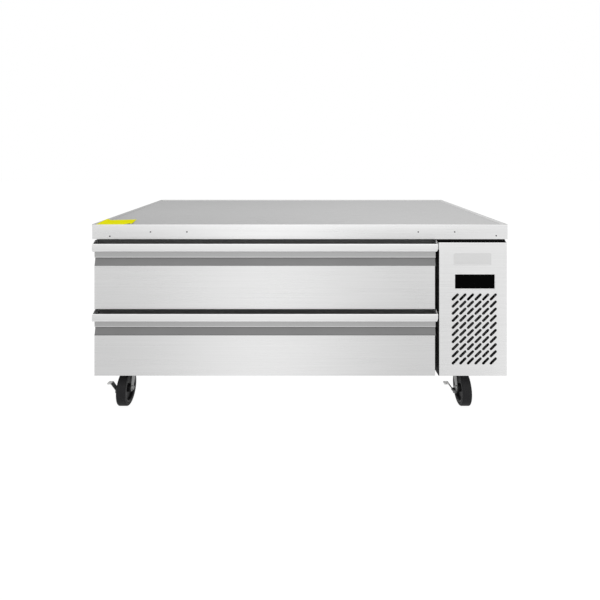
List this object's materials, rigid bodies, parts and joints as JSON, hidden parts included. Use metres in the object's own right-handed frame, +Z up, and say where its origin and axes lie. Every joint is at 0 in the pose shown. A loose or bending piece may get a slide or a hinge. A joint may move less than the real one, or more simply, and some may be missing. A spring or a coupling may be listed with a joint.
{
  "type": "chef base freezer",
  "caption": "Low drawer freezer base on swivel casters: heavy steel worktop, wide full-length handle lips, slotted machine bay with control window on the right.",
  "frame": {"origin": "on the floor under the centre of the whole object's box, with its drawers closed", "axes": "+Z up, front towards -Y, +X to the viewer's right when facing the drawers"},
  "size_m": [1.53, 0.86, 0.705],
  "materials": {
    "steel": "satin",
    "worktop_steel": "satin",
    "galvanised": "satin",
    "zinc": "satin",
    "foam": "matte",
    "liner": "satin",
    "gasket": "matte",
    "black_enamel": "satin",
    "window": "gloss",
    "dark_plastic": "matte",
    "wheel_rubber": "matte",
    "copper": "satin",
    "fins": "satin",
    "fan_plastic": "matte",
    "motor": "satin"
  },
  "bodies": {
    "cabinet": {"worktop": "worktop_steel", "worktop_core": "foam", "cabinet_shell": "galvanised", "cabinet_insulation": "foam", "cabinet_liner": "liner", "front_frame": "steel", "machine_front_panel": "steel", "machine_side_panel": "steel", "machine_rear_grille": "galvanised", "control_fascia": "window", "temperature_controller": "dark_plastic", "compressor": "black_enamel", "condenser_coil": "fins", "condenser_fan_shroud": "galvanised", "condenser_fan_motor": "motor", "evaporator_coil": "fins", "evaporator_cover": "liner", "evaporator_fan_motor": "motor", "condensate_pan": "galvanised", "electrical_box": "dark_plastic", "suction_line": "copper", "liquid_line": "copper", "power_cord_gland": "black_enamel", "upper_drawer_slide_outer_left": "zinc", "upper_drawer_slide_outer_right": "zinc", "lower_drawer_slide_outer_left": "zinc", "lower_drawer_slide_outer_right": "zinc", "front_left_caster_plate": "zinc", "front_right_caster_plate": "zinc", "back_left_caster_plate": "zinc", "back_right_caster_plate": "zinc"},
    "condenser_fan": {"condenser_fan_blade": "fan_plastic"},
    "evaporator_fan": {"evaporator_fan_blade": "fan_plastic"},
    "upper_drawer": {"upper_drawer_front_skin": "steel", "upper_drawer_handle": "steel", "upper_drawer_front_foam": "foam", "upper_drawer_inner_panel": "liner", "upper_drawer_gasket": "gasket", "upper_drawer_pan_frame": "zinc"},
    "upper_slide_middles": {"upper_drawer_slide_middle_left": "zinc", "upper_drawer_slide_middle_right": "zinc"},
    "lower_drawer": {"lower_drawer_front_skin": "steel", "lower_drawer_handle": "steel", "lower_drawer_front_foam": "foam", "lower_drawer_inner_panel": "liner", "lower_drawer_gasket": "gasket", "lower_drawer_pan_frame": "zinc"},
    "lower_slide_middles": {"lower_drawer_slide_middle_left": "zinc", "lower_drawer_slide_middle_right": "zinc"},
    "front_left_caster_fork": {"front_left_caster_fork": "zinc"},
    "front_left_caster_wheel": {"front_left_caster_wheel": "wheel_rubber"},
    "front_left_caster_brake": {"front_left_caster_brake": "zinc"},
    "front_right_caster_fork": {"front_right_caster_fork": "zinc"},
    "front_right_caster_wheel": {"front_right_caster_wheel": "wheel_rubber"},
    "front_right_caster_brake": {"front_right_caster_brake": "zinc"},
    "back_left_caster_fork": {"back_left_caster_fork": "zinc"},
    "back_left_caster_wheel": {"back_left_caster_wheel": "wheel_rubber"},
    "back_right_caster_fork": {"back_right_caster_fork": "zinc"},
    "back_right_caster_wheel": {"back_right_caster_wheel": "wheel_rubber"}
  },
  "joints": [
    {"name": "condenser_fan_spin", "type": "hinge", "parent": "cabinet", "child": "condenser_fan", "pos_m": [0.635, -0.3227, 0.2858], "axis": [0, 1, 0], "continuous": true},
    {"name": "evaporator_fan_spin", "type": "hinge", "parent": "cabinet", "child": "evaporator_fan", "pos_m": [-0.125, 0.2339, 0.3786], "axis": [0, 1, 0], "continuous": true},
    {"name": "upper_drawer_slide", "type": "slide", "parent": "cabinet", "child": "upper_drawer", "axis": [0, -1, 0], "range_m": [0, 0.54]},
    {"name": "upper_middles_slide", "type": "slide", "parent": "cabinet", "child": "upper_slide_middles", "axis": [0, -1, 0], "range_m": [0, 0.27]},
    {"name": "lower_drawer_slide", "type": "slide", "parent": "cabinet", "child": "lower_drawer", "axis": [0, -1, 0], "range_m": [0, 0.54]},
    {"name": "lower_middles_slide", "type": "slide", "parent": "cabinet", "child": "lower_slide_middles", "axis": [0, -1, 0], "range_m": [0, 0.27]},
    {"name": "front_left_caster_swivel", "type": "hinge", "parent": "cabinet", "child": "front_left_caster_fork", "pos_m": [-0.669, -0.285, 0.1359], "axis": [0, 0, 1], "continuous": true},
    {"name": "front_left_caster_roll", "type": "hinge", "parent": "front_left_caster_fork", "child": "front_left_caster_wheel", "pos_m": [-0.669, -0.323, 0.0625], "axis": [1, 0, 0], "continuous": true},
    {"name": "front_left_caster_brake_press", "type": "hinge", "parent": "front_left_caster_fork", "child": "front_left_caster_brake", "pos_m": [-0.7028, -0.323, 0.052], "axis": [0, -1, 0], "range_deg": [0, 30]},
    {"name": "front_right_caster_swivel", "type": "hinge", "parent": "cabinet", "child": "front_right_caster_fork", "pos_m": [0.625, -0.285, 0.1359], "axis": [0, 0, 1], "continuous": true},
    {"name": "front_right_caster_roll", "type": "hinge", "parent": "front_right_caster_fork", "child": "front_right_caster_wheel", "pos_m": [0.625, -0.323, 0.0625], "axis": [1, 0, 0], "continuous": true},
    {"name": "front_right_caster_brake_press", "type": "hinge", "parent": "front_right_caster_fork", "child": "front_right_caster_brake", "pos_m": [0.5912, -0.323, 0.052], "axis": [0, -1, 0], "range_deg": [0, 30]},
    {"name": "back_left_caster_swivel", "type": "hinge", "parent": "cabinet", "child": "back_left_caster_fork", "pos_m": [-0.669, 0.32, 0.1359], "axis": [0, 0, 1], "continuous": true},
    {"name": "back_left_caster_roll", "type": "hinge", "parent": "back_left_caster_fork", "child": "back_left_caster_wheel", "pos_m": [-0.669, 0.282, 0.0625], "axis": [1, 0, 0], "continuous": true},
    {"name": "back_right_caster_swivel", "type": "hinge", "parent": "cabinet", "child": "back_right_caster_fork", "pos_m": [0.625, 0.32, 0.1359], "axis": [0, 0, 1], "continuous": true},
    {"name": "back_right_caster_roll", "type": "hinge", "parent": "back_right_caster_fork", "child": "back_right_caster_wheel", "pos_m": [0.625, 0.282, 0.0625], "axis": [1, 0, 0], "continuous": true}
  ],
  "couplings": [
    {"joint": "upper_middles_slide", "follows": "upper_drawer_slide", "ratio": 0.5},
    {"joint": "lower_middles_slide", "follows": "lower_drawer_slide", "ratio": 0.5}
  ]
}
